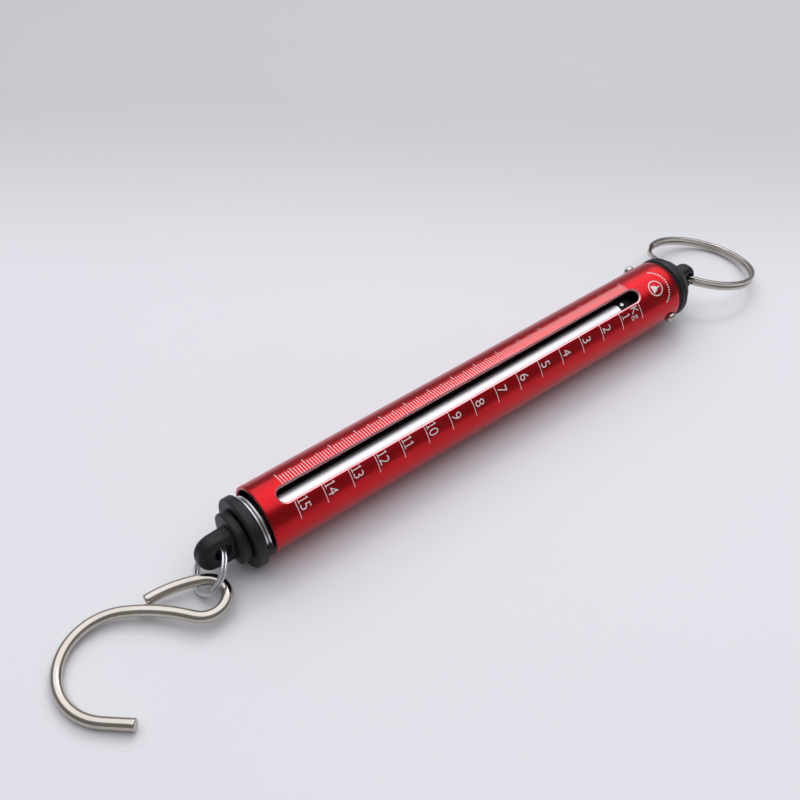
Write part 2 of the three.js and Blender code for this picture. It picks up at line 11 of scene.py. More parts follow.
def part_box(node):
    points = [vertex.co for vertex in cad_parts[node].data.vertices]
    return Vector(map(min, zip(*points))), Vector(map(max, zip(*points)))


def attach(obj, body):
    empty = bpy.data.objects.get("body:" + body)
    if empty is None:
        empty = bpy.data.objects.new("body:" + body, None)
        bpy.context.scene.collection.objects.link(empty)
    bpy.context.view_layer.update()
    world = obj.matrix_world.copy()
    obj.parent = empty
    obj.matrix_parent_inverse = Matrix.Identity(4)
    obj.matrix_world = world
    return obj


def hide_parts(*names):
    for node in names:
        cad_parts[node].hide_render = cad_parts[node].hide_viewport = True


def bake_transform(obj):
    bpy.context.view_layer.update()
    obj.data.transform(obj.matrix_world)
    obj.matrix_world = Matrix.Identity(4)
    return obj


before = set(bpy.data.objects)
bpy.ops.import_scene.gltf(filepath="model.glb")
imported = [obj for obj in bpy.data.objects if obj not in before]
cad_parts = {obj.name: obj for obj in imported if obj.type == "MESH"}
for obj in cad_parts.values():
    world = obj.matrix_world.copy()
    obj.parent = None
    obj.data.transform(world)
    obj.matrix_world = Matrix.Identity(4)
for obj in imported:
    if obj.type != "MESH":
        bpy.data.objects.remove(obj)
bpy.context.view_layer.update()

MM = 0.001

# ---------------------------------------------------------------- places taken from the frame
TUBE_LOW, TUBE_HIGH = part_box("outer_tube")
AXIS_Y = (TUBE_LOW.y + TUBE_HIGH.y) / 2
AXIS_Z = (TUBE_LOW.z + TUBE_HIGH.z) / 2
TUBE_R = (TUBE_HIGH.z - TUBE_LOW.z) / 2 / MM
TUBE_LEN = (TUBE_HIGH.x - TUBE_LOW.x) / MM


def spot(x, y, z):
    """A point given in millimetres from the tube's hook end and its axis, in the row frame in metres."""
    return Vector((TUBE_LOW.x + x * MM, AXIS_Y + y * MM, AXIS_Z + z * MM))


def span(node):
    """Lowest and highest corner of a CAD node, in millimetres from the tube's hook end and its axis."""
    origin = spot(0, 0, 0)
    return [(corner - origin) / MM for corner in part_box(node)]


# ---------------------------------------------------------------- design sizes
FLOOR_Z = 0.0
GROUND = -(AXIS_Z - FLOOR_Z) / MM

WALL = 1.0
BORE_R = TUBE_R - WALL
SLOT_WIDTH = 4.7
SLOT_ANGLE = 23.4
SLOT_START = 5.2
SLOT_END = TUBE_LEN - 15.0
SLOT_BEVEL = 0.42

INNER_LOW, INNER_HIGH = span("inner_tube")
INNER_Z = (INNER_LOW.z + INNER_HIGH.z) / 2
INNER_R = (INNER_HIGH.z - INNER_LOW.z) / 2
INNER_BORE = INNER_R - 1.8

ZERO_X = 138.4
PER_KILO = 8.658
CAPACITY = 15

# the lower eye, on the disc behind the flange, and the upper eye, on the cap's dome
DISC_THICK = 2.6
DISC_X = span("flange_collar")[0].x - 0.3 - DISC_THICK
LOWER_EYE = Vector((DISC_X - 3.2, 0.0, INNER_Z - 0.4))
UPPER_EYE = Vector((TUBE_LEN + 13.2, 0.0, -0.6))

# the small gap between the two turns of a split ring
TURN_GAP = 0.08
SOFT_EDGE = math.radians(38)


# ---------------------------------------------------------------- mesh helpers
def from_bmesh(name, bm, materials, sharp=SOFT_EDGE):
    """An object with smooth shading, where edges that turn by more than the sharp angle stay crisp."""
    mesh = bpy.data.meshes.new(name)
    bm.to_mesh(mesh)
    bm.free()
    for material in materials:
        mesh.materials.append(material)
    for polygon in mesh.polygons:
        polygon.use_smooth = True
    if sharp is not None:
        mesh.set_sharp_from_angle(angle=sharp)
    piece = bpy.data.objects.new(name, mesh)
    bpy.context.scene.collection.objects.link(piece)
    return piece


def full_turn(count):
    """Angles evenly round a circle."""
    return [2 * math.pi * k / count for k in range(count)]


def add_grid(bm, rows, closed_across=False, closed_along=False, material=0):
    """Quads between rows of points. Each row has the same number of points."""
    made = [[bm.verts.new(p) for p in row] for row in rows]
    count = len(made[0])
    last_row = len(made) if closed_along else len(made) - 1
    last = count if closed_across else count - 1
    for i in range(last_row):
        a, b = made[i], made[(i + 1) % len(made)]
        for j in range(last):
            k = (j + 1) % count
            face = bm.faces.new((a[j], a[k], b[k], b[j]))
            face.material_index = material
    return made


def add_capped(bm, rows):
    """A closed tube through the rows, with a flat face on both ends."""
    made = add_grid(bm, rows, closed_across=True)
    bm.faces.new(made[0])
    bm.faces.new(list(reversed(made[-1])))


def tidy(bm, distance=2e-6):
    bmesh.ops.remove_doubles(bm, verts=bm.verts, dist=distance)
    bmesh.ops.dissolve_degenerate(bm, edges=bm.edges, dist=1e-7)
    bmesh.ops.recalc_face_normals(bm, faces=bm.faces)


def rounded(corners, steps=5):
    """A profile with its corners rounded. Each corner is (x, r, radius), and its sides limit the radius."""
    out = []
    for i, (x, r, radius) in enumerate(corners):
        if radius <= 0 or i in (0, len(corners) - 1):
            out.append((x, r))
            continue
        p = Vector((x, r))
        before = Vector(corners[i - 1][:2]) - p
        after = Vector(corners[i + 1][:2]) - p
        angle = before.angle(after)
        cut = min(radius / math.tan(angle / 2), before.length * 0.48, after.length * 0.48)
        a, b = p + before.normalized() * cut, p + after.normalized() * cut
        for k in range(steps + 1):
            t = k / steps
            q = a * (1 - t) ** 2 + p * 2 * t * (1 - t) + b * t ** 2
            out.append((q.x, q.y))
    return out


def lathe_into(bm, profile, axis_z, segments, closed=False):
    """Turns a profile of (x, radius) about the X direction."""
    angles = full_turn(segments)
    rows = [[spot(x, -r * math.sin(a), axis_z + r * math.cos(a)) for a in angles] for x, r in profile]
    add_grid(bm, rows, closed_across=True, closed_along=closed)


def lathe_ring(name, profile, axis_z, materials):
    """A ring turned from a closed profile."""
    bm = bmesh.new()
    lathe_into(bm, profile, axis_z, 96, closed=True)
    tidy(bm)
    return from_bmesh(name, bm, materials)


def turned_head(bm, base, up, profile, segments):
    """Turns a profile of (radius, height) about the direction up, from base. Returns two side directions."""
    side = Vector((1, 0, 0))
    other = up.cross(side)
    angles = full_turn(segments)
    rows = [[base + (up * h + (side * math.cos(a) + other * math.sin(a)) * r) * MM for a in angles]
            for r, h in profile]
    add_grid(bm, rows, closed_across=True)
    tidy(bm)
    return side, other


def tangents_along(points):
    last = len(points) - 1
    return [(points[min(last, i + 1)] - points[max(0, i - 1)]).normalized() for i in range(len(points))]


def frames_along(points, start_normal=None):
    """Tangent and two side directions at each point, carried along without twist."""
    tangents = tangents_along(points)
    n = start_normal or tangents[0].orthogonal()
    out = []
    for t in tangents:
        n = (n - t * n.dot(t)).normalized()
        out.append((t, n, t.cross(n)))
    return out


def sweep_into(bm, points, section, frames, scales=None):
    """Carries a section of (normal, binormal) points along a route, and closes both ends."""
    rows = []
    for i, p in enumerate(points):
        _, n, b = frames[i]
        s = scales[i] if scales else 1.0
        rows.append([p + (n * u + b * v) * s * MM for u, v in section])
    made = add_grid(bm, rows, closed_across=True)
    for ring, point in ((made[0], points[0]), (made[-1], points[-1])):
        centre = bm.verts.new(point)
        for j in range(len(ring)):
            bm.faces.new((ring[j], ring[(j + 1) % len(ring)], centre))
    tidy(bm)


def circle(radius, sides):
    return [(radius * math.cos(a), radius * math.sin(a)) for a in full_turn(sides)]


def rounded_box(width, height, corner, steps=5):
    out = []
    for quadrant in range(4):
        sx, sy = ((1, 1), (-1, 1), (-1, -1), (1, -1))[quadrant]
        cx, cy = sx * (width / 2 - corner), sy * (height / 2 - corner)
        for k in range(steps + 1):
            a = math.pi / 2 * (quadrant + k / steps)
            out.append((cx + corner * math.cos(a), cy + corner * math.sin(a)))
    return out


def wire(name, points, radius, materials, chamfer):
    """A round wire along points given in the row frame, with slightly broken ends."""
    first = (points[1] - points[0]).normalized() * chamfer * MM
    last = (points[-1] - points[-2]).normalized() * chamfer * MM
    part_way = 0.35
    route = [points[0], points[0] + first * part_way, points[0] + first] + list(points[2:-2])
    route += [points[-1] - last, points[-1] - last * part_way, points[-1]]
    end, near_end = 1 - chamfer / radius, 1 - 0.45 * chamfer / radius
    scales = [end, near_end] + [1.0] * (len(route) - 4) + [near_end, end]
    bm = bmesh.new()
    sweep_into(bm, route, circle(radius, 32), frames_along(route), scales)
    return from_bmesh(name, bm, materials)


def apply_modifiers(piece):
    depsgraph = bpy.context.evaluated_depsgraph_get()
    mesh = bpy.data.meshes.new_from_object(piece.evaluated_get(depsgraph))
    piece.modifiers.clear()
    piece.data = mesh


def moulded(name, body_profile, axis_z, plate, hole, materials, voxel=0.16, rounds=5):
    """A turned body with a flat eye plate grown into it: joined, drilled and rounded over.

    plate is (outline points in x and z, thickness, edge) and hole is (x, z, radius)."""
    bm = bmesh.new()
    lathe_into(bm, body_profile, axis_z, 128)
    tidy(bm)
    body = from_bmesh(name, bm, materials, None)
    outline, thick, edge = plate
    bm = bmesh.new()
    rows = []
    centre = Vector((sum(p[0] for p in outline), sum(p[1] for p in outline))) / len(outline)
    steps = 7
    # the plate's rim is a half round as deep as its edge
    for k in range(steps + 1):
        a = math.pi * k / steps
        inset = edge * (1 - math.sin(a))
        y = -(thick / 2 - edge) * math.copysign(1, math.cos(a)) - edge * math.cos(a)
        row = []
        for p in outline:
            away = Vector(p) - centre
            q = Vector(p) - away.normalized() * inset
            row.append(spot(q.x, y, q.y))
        rows.append(row)
    add_capped(bm, rows)
    tidy(bm)
    grown = from_bmesh(name + "_plate", bm, [], None)
    bm = bmesh.new()
    hole_x, hole_z, hole_r = hole
    rim = circle(hole_r, 64)
    add_capped(bm, [[spot(hole_x + u, y, hole_z + v) for u, v in rim] for y in (-thick, thick)])
    tidy(bm)
    drill = from_bmesh(name + "_drill", bm, [], None)
    for tool, operation in ((grown, "UNION"), (drill, "DIFFERENCE")):
        cut = body.modifiers.new(operation, "BOOLEAN")
        cut.operation = operation
        cut.solver = "EXACT"
        cut.object = tool
    remesh = body.modifiers.new("remesh", "REMESH")
    remesh.mode = "VOXEL"
    remesh.voxel_size = voxel * MM
    remesh.use_smooth_shade = True
    smooth = body.modifiers.new("smooth", "SMOOTH")
    smooth.factor = 0.5
    smooth.iterations = rounds
    apply_modifiers(body)
    bpy.data.objects.remove(grown)
    bpy.data.objects.remove(drill)
    body.data.materials.clear()
    for material in materials:
        body.data.materials.append(material)
    for polygon in body.data.polygons:
        polygon.use_smooth = True
        polygon.material_index = 0
    return body


# ---------------------------------------------------------------- materials
class Nodes:
    """Shorthand for building one procedural material. Noise scales are in cycles per metre."""

    def __init__(self, name):
        self.material = bpy.data.materials.new(name)
        self.material.use_nodes = True
        self.tree = self.material.node_tree
        self.shader = self.tree.nodes["Principled BSDF"]
        self.place = self.tree.nodes.new("ShaderNodeTexCoord").outputs["Object"]

    def set(self, **values):
        for key, value in values.items():
            self.shader.inputs[key.replace("_", " ")].default_value = value

    def scaled(self, scale):
        node = self.tree.nodes.new("ShaderNodeMapping")
        node.inputs["Scale"].default_value = scale
        self.tree.links.new(self.place, node.inputs["Vector"])
        return node.outputs["Vector"]

    def noise(self, scale, stretch=(1, 1, 1), detail=3.0, rough=0.5):
        node = self.tree.nodes.new("ShaderNodeTexNoise")
        node.inputs["Scale"].default_value = scale
        node.inputs["Detail"].default_value = detail
        node.inputs["Roughness"].default_value = rough
        self.tree.links.new(self.scaled(stretch), node.inputs["Vector"])
        return node.outputs["Fac"]

    def ramp(self, value, low, high, start=0.3, end=0.7):
        node = self.tree.nodes.new("ShaderNodeValToRGB")
        first, last = node.color_ramp.elements
        first.position, first.color = start, (*low, 1)
        last.position, last.color = end, (*high, 1)
        self.tree.links.new(value, node.inputs["Fac"])
        return node.outputs["Color"]

    def range(self, value, low, high):
        node = self.tree.nodes.new("ShaderNodeMapRange")
        node.inputs["From Min"].default_value = 0.3
        node.inputs["From Max"].default_value = 0.7
        node.inputs["To Min"].default_value = low
        node.inputs["To Max"].default_value = high
        self.tree.links.new(value, node.inputs["Value"])
        return node.outputs["Result"]

    def bump(self, value, strength, distance):
        node = self.tree.nodes.new("ShaderNodeBump")
        node.inputs["Strength"].default_value = strength
        node.inputs["Distance"].default_value = distance
        self.tree.links.new(value, node.inputs["Height"])
        previous = self.shader.inputs["Normal"].links
        if previous:
            self.tree.links.new(previous[0].from_socket, node.inputs["Normal"])
        self.tree.links.new(node.outputs["Normal"], self.shader.inputs["Normal"])

    def plug(self, socket, value):
        self.tree.links.new(value, self.shader.inputs[socket])


def anodised():
    m = Nodes("red_anodised")
    m.set(Metallic=0.97, Coat_Weight=0.18, Coat_Roughness=0.12)
    drawn = m.noise(900, (0.02, 1, 1), 4)
    cloud = m.noise(60, (1, 1, 1), 3)
    m.plug("Base Color", m.ramp(cloud, (0.49, 0.007, 0.012), (0.56, 0.010, 0.016)))
    m.plug("Roughness", m.range(drawn, 0.24, 0.34))
    m.bump(drawn, 0.10, 0.00002)
    m.bump(m.noise(2500, (1, 1, 1), 2), 0.05, 0.00001)
    return m.material


def bare_edge():
    m = Nodes("cut_edge")
    m.set(Metallic=0.9)
    grain = m.noise(3000, (0.05, 1, 1), 3)
    m.plug("Base Color", m.ramp(grain, (0.80, 0.30, 0.33), (0.90, 0.48, 0.50)))
    m.plug("Roughness", m.range(grain, 0.22, 0.36))
    return m.material


def black_plastic():
    m = Nodes("black_plastic")
    grain = m.noise(2200, (1, 1, 1), 4, 0.6)
    patch = m.noise(180, (1, 1, 1), 3)
    m.set(Specular_IOR_Level=0.32)
    m.plug("Base Color", m.ramp(patch, (0.006, 0.006, 0.008), (0.011, 0.011, 0.013)))
    m.plug("Roughness", m.range(patch, 0.40, 0.54))
    m.bump(grain, 0.35, 0.00006)
    m.bump(patch, 0.12, 0.00015)
    return m.material


def drawn_wire(name, low, high, rough, streak=260, pits=0.12):
    m = Nodes(name)
    m.set(Metallic=1.0)
    cloud = m.noise(streak, (1, 1, 1), 2, 0.4)
    fine = m.noise(3200, (1, 1, 1), 3, 0.6)
    m.plug("Base Color", m.ramp(cloud, low, high, 0.1, 0.9))
    m.plug("Roughness", m.range(cloud, rough - 0.02, rough + 0.03))
    m.bump(fine, pits, 0.00002)
    return m.material


def strip_metal():
    m = Nodes("bright_strip")
    m.set(Metallic=0.85)
    brush = m.noise(1400, (0.015, 1, 1), 4, 0.6)
    m.plug("Base Color", m.ramp(brush, (0.78, 0.78, 0.80), (0.97, 0.97, 0.97)))
    m.plug("Roughness", m.range(brush, 0.30, 0.46))
    m.bump(brush, 0.12, 0.00002)
    return m.material


def dark_rubber():
    m = Nodes("dark_rubber")
    grain = m.noise(1800, (1, 1, 1), 3)
    m.plug("Base Color", m.ramp(grain, (0.012, 0.012, 0.013), (0.03, 0.03, 0.032)))
    m.plug("Roughness", m.range(grain, 0.7, 0.9))
    m.bump(grain, 0.2, 0.00004)
    return m.material


def mark_paint():
    m = Nodes("scale_paint")
    wear = m.noise(2400, (1, 1, 1), 3)
    m.plug("Base Color", m.ramp(wear, (0.78, 0.68, 0.68), (0.92, 0.86, 0.86)))
    m.plug("Roughness", m.range(wear, 0.4, 0.55))
    return m.material


def floor_paper():
    """Pale paper with painted shade: its colour gets a little greyer towards the far side of the set,
    standing in for the light falling off there.
    """
    m = Nodes("pale_floor")
    cloud = m.noise(6, (1, 1, 1), 3)
    grain = m.noise(900, (1, 1, 1), 3)
    away = m.tree.nodes.new("ShaderNodeVectorMath")
    away.operation = "DOT_PRODUCT"
    away.inputs[1].default_value = (0.67, 0.74, 0.0)
    m.tree.links.new(m.place, away.inputs[0])
    # painted shade: darkens the floor colour away from the camera, in place of the light's falloff
    far_painted_shade = m.tree.nodes.new("ShaderNodeMapRange")
    far_painted_shade.interpolation_type = "SMOOTHSTEP"
    far_painted_shade.inputs["From Min"].default_value = 0.05
    far_painted_shade.inputs["From Max"].default_value = 0.20
    m.tree.links.new(away.outputs["Value"], far_painted_shade.inputs["Value"])
    mix = m.tree.nodes.new("ShaderNodeMix")
    mix.data_type = "RGBA"
    mix.blend_type = "MULTIPLY"
    m.tree.links.new(far_painted_shade.outputs["Result"], mix.inputs["Factor"])
    m.tree.links.new(m.ramp(cloud, (0.79, 0.785, 0.81), (0.815, 0.81, 0.835)), mix.inputs[6])
    mix.inputs[7].default_value = (0.74, 0.73, 0.73, 1)
    m.plug("Base Color", mix.outputs[2])
    m.plug("Roughness", m.range(cloud, 0.62, 0.72))
    m.bump(grain, 0.08, 0.0001)
    return m.material


RED = anodised()
EDGE = bare_edge()
BLACK = black_plastic()
STAINLESS = drawn_wire("stainless", (0.43, 0.39, 0.34), (0.58, 0.53, 0.47), 0.15, 90)
SPRING_STEEL = drawn_wire("spring_steel", (0.34, 0.34, 0.35), (0.52, 0.52, 0.53), 0.3)
NICKEL = drawn_wire("nickel", (0.44, 0.40, 0.36), (0.60, 0.56, 0.51), 0.16, 200, 0.05)
ZINC = drawn_wire("zinc", (0.58, 0.59, 0.60), (0.80, 0.80, 0.80), 0.3)
STRIP = strip_metal()
RUBBER = dark_rubber()
PAINT = mark_paint()


def place(piece, body, slot, *nodes):
    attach(piece, body)
    if nodes:
        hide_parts(*nodes)
    return piece


# ---------------------------------------------------------------- outer tube with its slot
def tube_point(x, degrees, r):
    a = math.radians(degrees)
    return spot(x, -r * math.sin(a), r * math.cos(a))


# points along each side of the slot and round each end
SIDE_POINTS = 110
END_POINTS = 20


def slot_loop(offset):
    """(x, arc) points round the slot, an offset outside its edge."""
    half = SLOT_WIDTH / 2
    low, high = SLOT_START + half, SLOT_END - half
    w = half + offset
    ends = [math.pi * i / END_POINTS for i in range(END_POINTS)]
    loop = [(low + (high - low) * i / SIDE_POINTS, w) for i in range(SIDE_POINTS)]
    loop += [(high + w * math.sin(a), w * math.cos(a)) for a in ends]
    loop += [(high - (high - low) * i / SIDE_POINTS, -w) for i in range(SIDE_POINTS)]
    loop += [(low - w * math.sin(a), -w * math.cos(a)) for a in ends]
    return loop


def frame_loop(x0, x1, w):
    """As many (x, arc) points round the rectangle that the slot is cut in."""
    loop = [(x0 + (x1 - x0) * i / SIDE_POINTS, w) for i in range(SIDE_POINTS)]
    loop += [(x1, w - 2 * w * i / END_POINTS) for i in range(END_POINTS)]
    loop += [(x1 - (x1 - x0) * i / SIDE_POINTS, -w) for i in range(SIDE_POINTS)]
    loop += [(x0, -w + 2 * w * i / END_POINTS) for i in range(END_POINTS)]
    return loop


def build_tube():
    """The side with the slot is a patch of the tube's skin; the rest of the skin is plain."""
    patch = 46.0
    chamfer = 0.25
    lip_width, lip_depth = 0.65, 0.46

    def on(loop, r):
        return [tube_point(x, SLOT_ANGLE - math.degrees(s / TUBE_R), r) for x, s in loop]

    def skin(r, x0, x1, first_offset):
        inner = slot_loop(first_offset)
        outer = frame_loop(x0, x1, math.radians(patch) * TUBE_R)
        rows = []
        for k in range(13):
            t = (k / 12) ** 1.6
            rows.append(on([(a[0] + (b[0] - a[0]) * t, a[1] + (b[1] - a[1]) * t)
                            for a, b in zip(inner, outer)], r))
        return rows

    bm = bmesh.new()
    outer = skin(TUBE_R, chamfer, TUBE_LEN - chamfer, lip_width)
    lip = [on(slot_loop(d), TUBE_R - drop) for d, drop in
           ((lip_width, 0.0), (SLOT_BEVEL + 0.06, 0.0), (SLOT_BEVEL, 0.015), (SLOT_BEVEL - 0.06, 0.06),
            (0.06, 0.33), (0.015, 0.39), (0.0, lip_depth))]
    wall = [on(slot_loop(d), r) for d, r in
            ((0.0, TUBE_R - lip_depth), (0.0, BORE_R + 0.12), (0.1, BORE_R))]
    inner = skin(BORE_R, chamfer / 2, TUBE_LEN - chamfer / 2, 0.1)
    add_grid(bm, list(reversed(outer)), closed_across=True)
    add_grid(bm, lip[:3], closed_across=True)
    add_grid(bm, lip[2:], closed_across=True, material=1)
    add_grid(bm, wall, closed_across=True, material=1)
    add_grid(bm, inner, closed_across=True)

    rest = 100
    angles = [SLOT_ANGLE + patch + (360 - 2 * patch) * k / rest for k in range(rest + 1)]
    for r, inset in ((TUBE_R, chamfer), (BORE_R, chamfer / 2)):
        length = TUBE_LEN - 2 * inset
        add_grid(bm, [[tube_point(inset + length * i / SIDE_POINTS, a, r) for i in range(SIDE_POINTS + 1)]
                      for a in angles])
    turn = [SLOT_ANGLE - patch + 2 * patch * i / END_POINTS for i in range(END_POINTS)] + angles[:-1]
    for x_end, sign in ((0.0, 1), (TUBE_LEN, -1)):
        lips = [(x_end + sign * chamfer, TUBE_R), (x_end + sign * 0.08, TUBE_R - 0.07),
                (x_end, TUBE_R - 0.22), (x_end, BORE_R + 0.12), (x_end + sign * chamfer / 2, BORE_R)]
        add_grid(bm, [[tube_point(x, a, r) for a in turn] for x, r in lips], closed_across=True)
    tidy(bm, 4e-6)
    piece = from_bmesh("tube_skin", bm, [RED, EDGE], math.radians(50))
    return place(piece, "housing", "red_anodised", "outer_tube")


# ---------------------------------------------------------------- printed scale
PRINT_R = TUBE_R + 0.012
# wider flat faces than this would dip under the tube's skin
FACE_WIDTH = 0.25


def strip_on_tube(bm, x0, x1, a0, a1, steps=6):
    angles = [a0 + (a1 - a0) * k / steps for k in range(steps + 1)]
    add_grid(bm, [[tube_point(x, a, PRINT_R) for a in angles] for x in (x0, x1)])


def arc_degrees(length):
    return math.degrees(length / TUBE_R)


def text_shapes(text, height):
    """Flat faces of a letter, none wider than FACE_WIDTH, as (right, up) points from right = 0."""
    curve = bpy.data.curves.new("word", "FONT")
    curve.body = text
    curve.size = 1.0
    curve.resolution_u = 4
    curve.offset = -0.011
    holder = bpy.data.objects.new("word", curve)
    bpy.context.scene.collection.objects.link(holder)
    mesh = bpy.data.meshes.new_from_object(holder.evaluated_get(bpy.context.evaluated_depsgraph_get()))
    top = max(v.co.y for v in mesh.vertices)
    left = min(v.co.x for v in mesh.vertices)
    scale = height / top
    flat = bmesh.new()
    flat.from_mesh(mesh)
    for v in flat.verts:
        v.co = Vector(((v.co.x - left) * scale, v.co.y * scale, 0.0))
    wide = max(v.co.x for v in flat.verts)
    for k in range(1, int(wide / FACE_WIDTH) + 1):
        everything = flat.verts[:] + flat.edges[:] + flat.faces[:]
        bmesh.ops.bisect_plane(flat, geom=everything, dist=1e-5,
                               plane_co=(FACE_WIDTH * k, 0, 0), plane_no=(1, 0, 0))
    flat.verts.index_update()
    points = [(v.co.x, v.co.y) for v in flat.verts]
    faces = [tuple(v.index for v in f.verts) for f in flat.faces]
    flat.free()
    bpy.data.objects.remove(holder)
    bpy.data.meshes.remove(mesh)
    bpy.data.curves.remove(curve)
    return points, faces


def numeral_one(height):
    """A one with a flag at its top and a foot, in the same form as a letter."""
    stem, foot, foot_high, flag = 0.27, 1.25, 0.2, 0.5
    left, right = (foot - stem) / 2, (foot + stem) / 2
    points, faces = [], []

    def box(x0, x1, low0, low1, high0, high1):
        steps = max(1, math.ceil((x1 - x0) / FACE_WIDTH))
        first = len(points)
        for k in range(steps + 1):
            t = k / steps
            x = x0 + (x1 - x0) * t
            points.extend([(x, low0 + (low1 - low0) * t), (x, high0 + (high1 - high0) * t)])
        for k in range(steps):
            a = first + 2 * k
            faces.append((a, a + 2, a + 3, a + 1))

    box(left, right, foot_high, foot_high, height, height)
    box(0.0, foot, 0.0, 0.0, foot_high, foot_high)
    box(left - flag, left, height - 0.62, height - 0.34, height - 0.46, height - 0.04)
    return points, faces


def word_on_tube(bm, text, x0, start, height, widen=1.0):
    """Lettering whose top points to the ring end, running away from the slot."""
    letter_gap = 0.34
    offset = 0.0
    for letter in text:
        points, faces = numeral_one(height) if letter == "1" else text_shapes(letter, height)
        made = [bm.verts.new(tube_point(x0 + up, start + arc_degrees((offset + right) * widen), PRINT_R))
                for right, up in points]
        for face in faces:
            bm.faces.new([made[i] for i in face])
        offset += max(p[0] for p in points) + letter_gap


def add_mark(bm, mark_x, mark_a):
    """A plain generic mark near the ring end: a ring with a small plumb weight in it, and a dotted arc."""
    ring_r, ring_line = 2.7, 0.35
    loops = []
    for r in (ring_r, ring_r - ring_line):
        loops.append([tube_point(mark_x + r * math.sin(a), mark_a + arc_degrees(r * math.cos(a)), PRINT_R)
                      for a in full_turn(48)])
    add_grid(bm, loops, closed_across=True)
    for x0, x1, w in ((-1.5, -0.9, 1.3), (-0.9, 0.0, 1.0), (0.0, 0.5, 0.55), (0.5, 1.7, 0.18)):
        strip_on_tube(bm, mark_x + x0, mark_x + x1, mark_a - arc_degrees(w), mark_a + arc_degrees(w))
    dots, arc_r, spread, half_x, half_arc = 17, 4.9, 62, 0.28, arc_degrees(0.22)
    for k in range(dots):
        a = math.radians(-spread + 2 * spread * k / (dots - 1))
        x = mark_x + arc_r * math.cos(a)
        arc = mark_a + arc_degrees(arc_r * 1.35 * math.sin(a))
        strip_on_tube(bm, x - half_x, x + half_x, arc - half_arc, arc + half_arc, 2)


def build_scale():
    """A mark for each tenth above the slot, and a line and a number for each kilogram below it."""
    bm = bmesh.new()
    half = arc_degrees(SLOT_WIDTH / 2)
    upper, lower = SLOT_ANGLE - half, SLOT_ANGLE + half
    line = 0.2
    tenths_gap, kilo_gap, kilo_end = 0.25, 0.35, 5.8
    for tick in range(CAPACITY * 10 + 1):
        x = ZERO_X - PER_KILO * tick / 10
        length = 4.4 if tick % 10 == 0 else 3.75 if tick % 5 == 0 else 3.2
        gap = arc_degrees(tenths_gap)
        strip_on_tube(bm, x - line / 2, x + line / 2, upper - gap, upper - gap - arc_degrees(length))
    for kilo in range(CAPACITY + 1):
        x = ZERO_X - PER_KILO * kilo
        strip_on_tube(bm, x - line / 2, x + line / 2,
                      lower + arc_degrees(kilo_gap), lower + arc_degrees(kilo_end), 8)
        if kilo:
            start = 1.7 if kilo < 10 else 0.7
            word_on_tube(bm, str(kilo), x + 0.7, lower + arc_degrees(start), 3.1)
    unit_x = ZERO_X - PER_KILO + 5.0
    word_on_tube(bm, "K", unit_x, lower + arc_degrees(0.8), 2.7, 0.95)
    word_on_tube(bm, "g", unit_x, lower + arc_degrees(3.2), 1.75, 0.95)
    add_mark(bm, 147.6, 32.0)
    piece = from_bmesh("scale_print", bm, [PAINT], None)
    return place(piece, "housing", "red_anodised")


# ---------------------------------------------------------------- sliding tube, collar and strip
STRIP_LOW, STRIP_HIGH = span("pointer_strip")
STRIP_FROM, STRIP_TO = 5.5, 52.0
STRIP_THICK = 0.75


def inner_point(x, degrees, r):
    a = math.radians(degrees)
    return spot(x, -r * math.sin(a), INNER_Z + r * math.cos(a))


def build_inner_tube():
    """A tube with a sunk field for the strip.

    angles are (degrees, sunk) and stations are (x, sunk), where -1 stands for the bore."""
    floor_r = INNER_R - STRIP_THICK - 0.3
    lip = 0.18
    before, after = STRIP_FROM - 2.4, STRIP_TO + 2.4
    angles = [(before - 1.2, 0), (before, 0), (before + 0.5, 1), (before + 0.9, 1)]
    angles += [(before + 0.9 + (after - before - 1.8) * k / 14, 1) for k in range(1, 14)]
    angles += [(after - 0.9, 1), (after - 0.5, 1), (after, 0), (after + 1.2, 0)]
    span_left = 360 - (after - before) - 2.4
    angles += [(after + 1.2 + span_left * k / 84, 0) for k in range(1, 84)]
    x_end = INNER_HIGH.x
    recess0, recess1 = STRIP_LOW.x - 0.3, STRIP_HIGH.x + 0.3
    stations = [(INNER_LOW.x, -1), (INNER_LOW.x, 0), (INNER_LOW.x + lip, 0), (recess0 - 0.1, 0)]
    stations += [(recess0 + (recess1 - recess0) * k / 30, 1) for k in range(31)]
    stations += [(recess1 + 0.1, 0), (x_end - lip, 0), (x_end, 0), (x_end, -1), (INNER_LOW.x, -1)]
    rows = []
    for i, (x, deep) in enumerate(stations):
        row = []
        for a, sunk in angles:
            if deep < 0:
                r = INNER_BORE
            elif deep and sunk:
                r = floor_r
            else:
                r = INNER_R - (lip if i in (1, len(stations) - 3) else 0)
            row.append(inner_point(x, a, r))
        rows.append(row)
    bm = bmesh.new()
    add_grid(bm, rows, closed_across=True)
    tidy(bm)
    piece = from_bmesh("inner_tube_skin", bm, [BLACK], math.radians(35))
    return place(piece, "slider", "black_plastic", "inner_tube")


